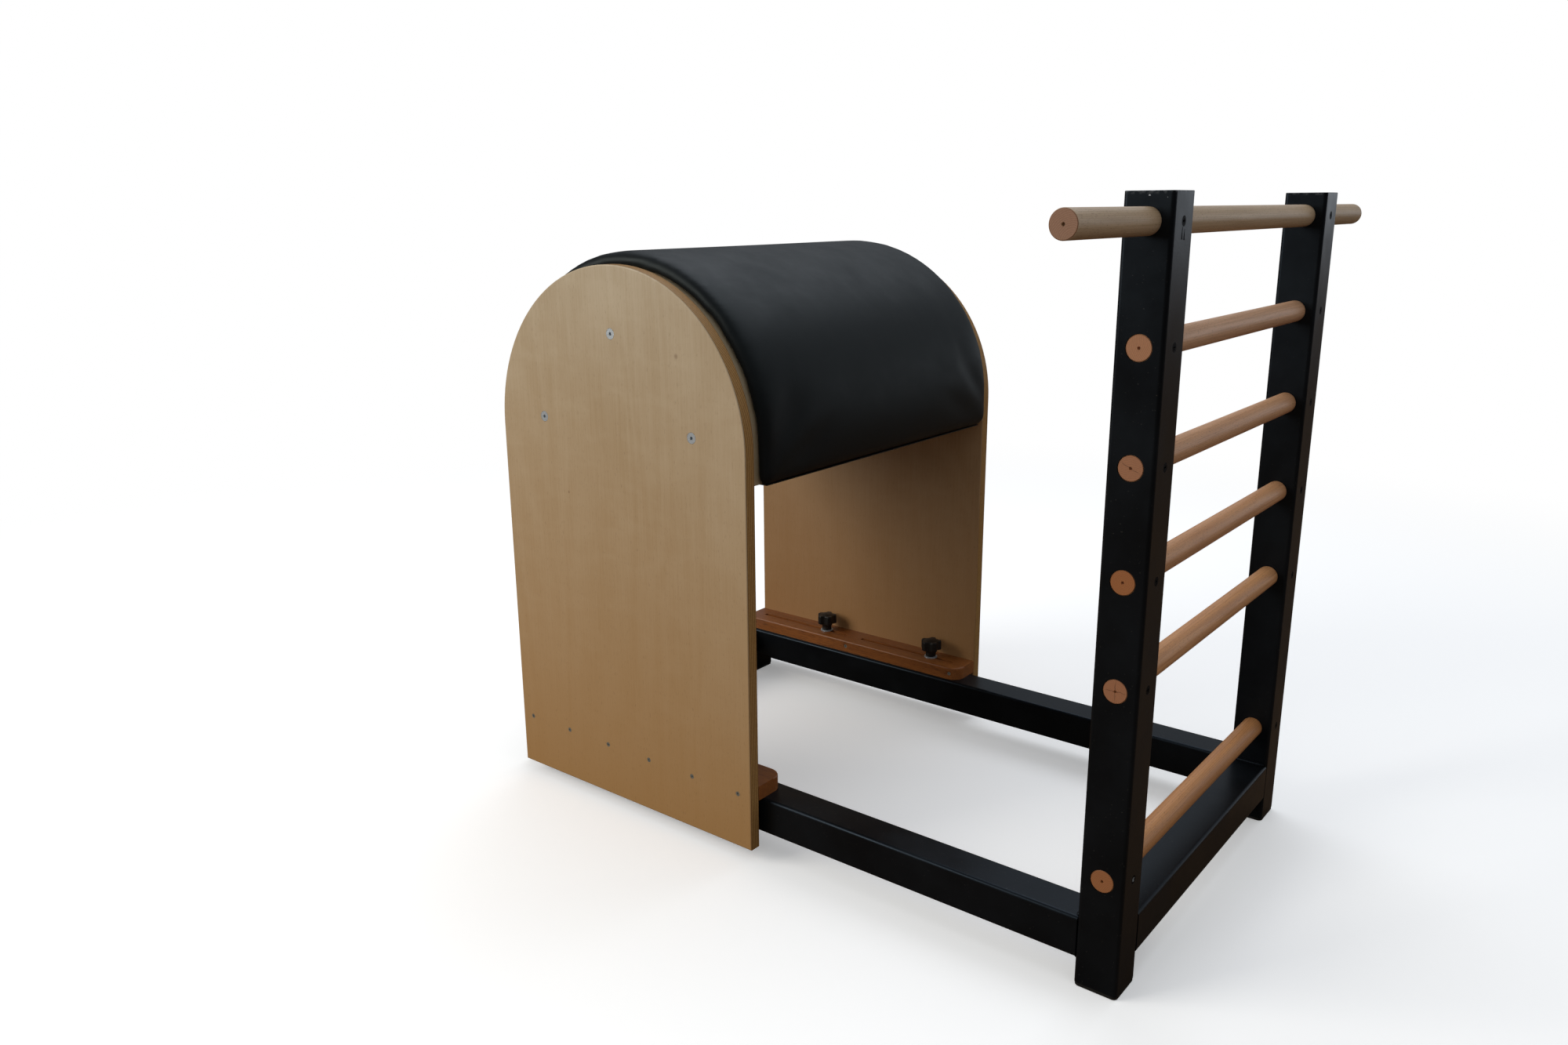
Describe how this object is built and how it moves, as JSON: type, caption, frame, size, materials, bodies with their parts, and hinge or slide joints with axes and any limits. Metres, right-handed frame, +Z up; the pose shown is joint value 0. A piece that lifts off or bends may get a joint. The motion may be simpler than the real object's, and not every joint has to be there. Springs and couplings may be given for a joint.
{
  "type": "ladder barrel",
  "caption": "Padded half barrel between arched plywood panels that slides on a welded steel base towards a ladder of round wooden rungs, held by clamp knobs.",
  "frame": {"origin": "on the floor, in the middle of the box round the whole object", "axes": "+X from the barrel to the ladder, +Y to the left seen that way, +Z up"},
  "size_m": [1.165, 1.075, 1.02],
  "materials": {
    "frame_paint": "semi-gloss black enamel on welded steel",
    "dark_steel": "screw heads painted over in black",
    "rung_wood": "turned beech, satin lacquer",
    "panel_ply": "birch plywood, satin lacquer",
    "inner_ply": "raw birch plywood",
    "batten_wood": "planed softwood",
    "runner_wood": "stained hardwood, satin lacquer",
    "foam": "open-cell foam",
    "vinyl": "semi-matt black upholstery vinyl",
    "foot_plastic": "moulded black plastic",
    "knob_plastic": "moulded black plastic",
    "zinc_steel": "bright zinc plate"
  },
  "bodies": {
    "frame": {"left_post": "frame_paint", "right_post": "frame_paint", "left_top_plate": "frame_paint", "right_top_plate": "frame_paint", "left_rail": "frame_paint", "right_rail": "frame_paint", "left_rear_leg": "frame_paint", "right_rear_leg": "frame_paint", "left_front_foot": "foot_plastic", "right_front_foot": "foot_plastic", "left_rear_foot": "foot_plastic", "right_rear_foot": "foot_plastic", "left_rail_plug": "foot_plastic", "right_rail_plug": "foot_plastic", "front_cross_tube": "frame_paint", "rear_cross_tube": "frame_paint", "top_rung": "rung_wood", "rung_2": "rung_wood", "rung_3": "rung_wood", "rung_4": "rung_wood", "rung_5": "rung_wood", "low_rung": "rung_wood", "rung_screws": "dark_steel", "clamp_washers": "zinc_steel", "clamp_nuts": "zinc_steel"},
    "barrel": {"left_panel": "panel_ply", "left_former": "inner_ply", "left_inner_strip": "runner_wood", "left_outer_strip": "runner_wood", "left_spacers": "runner_wood", "right_panel": "panel_ply", "right_former": "inner_ply", "right_inner_strip": "runner_wood", "right_outer_strip": "runner_wood", "right_spacers": "runner_wood", "middle_former": "inner_ply", "drum_skin": "inner_ply", "front_batten": "batten_wood", "rear_batten": "batten_wood", "foam_pad": "foam", "vinyl_cover": "vinyl", "drum_bolts": "zinc_steel", "drum_tee_nuts": "zinc_steel", "panel_screws": "zinc_steel", "runner_screws": "zinc_steel"},
    "left_rear_stud": {"left_rear_stud": "zinc_steel"},
    "left_rear_knob": {"left_rear_knob": "knob_plastic"},
    "left_front_stud": {"left_front_stud": "zinc_steel"},
    "left_front_knob": {"left_front_knob": "knob_plastic"},
    "right_rear_stud": {"right_rear_stud": "zinc_steel"},
    "right_rear_knob": {"right_rear_knob": "knob_plastic"},
    "right_front_stud": {"right_front_stud": "zinc_steel"},
    "right_front_knob": {"right_front_knob": "knob_plastic"}
  },
  "joints": [
    {"name": "barrel_slide", "type": "slide", "parent": "frame", "child": "barrel", "axis": [1, 0, 0], "range_m": [-0.0465, 0.1645]},
    {"name": "left_rear_rise", "type": "slide", "parent": "frame", "child": "left_rear_stud", "axis": [0, 0, 1], "range_m": [0, 0.00187]},
    {"name": "left_rear_turn", "type": "hinge", "parent": "left_rear_stud", "child": "left_rear_knob", "pos_m": [-0.3515, 0.3055, 0.1454], "axis": [0, 0, 1], "range_deg": [0, 540]},
    {"name": "left_front_rise", "type": "slide", "parent": "frame", "child": "left_front_stud", "axis": [0, 0, 1], "range_m": [0, 0.00187]},
    {"name": "left_front_turn", "type": "hinge", "parent": "left_front_stud", "child": "left_front_knob", "pos_m": [-0.0915, 0.3055, 0.1454], "axis": [0, 0, 1], "range_deg": [0, 540]},
    {"name": "right_rear_rise", "type": "slide", "parent": "frame", "child": "right_rear_stud", "axis": [0, 0, 1], "range_m": [0, 0.00187]},
    {"name": "right_rear_turn", "type": "hinge", "parent": "right_rear_stud", "child": "right_rear_knob", "pos_m": [-0.3515, -0.3055, 0.1454], "axis": [0, 0, 1], "range_deg": [0, 540]},
    {"name": "right_front_rise", "type": "slide", "parent": "frame", "child": "right_front_stud", "axis": [0, 0, 1], "range_m": [0, 0.00187]},
    {"name": "right_front_turn", "type": "hinge", "parent": "right_front_stud", "child": "right_front_knob", "pos_m": [-0.0915, -0.3055, 0.1454], "axis": [0, 0, 1], "range_deg": [0, 540]}
  ],
  "couplings": [
    {"joint": "left_rear_turn", "follows": "left_rear_rise", "rad_per_m": 5026.5},
    {"joint": "left_front_turn", "follows": "left_front_rise", "rad_per_m": 5026.5},
    {"joint": "right_rear_turn", "follows": "right_rear_rise", "rad_per_m": 5026.5},
    {"joint": "right_front_turn", "follows": "right_front_rise", "rad_per_m": 5026.5}
  ]
}
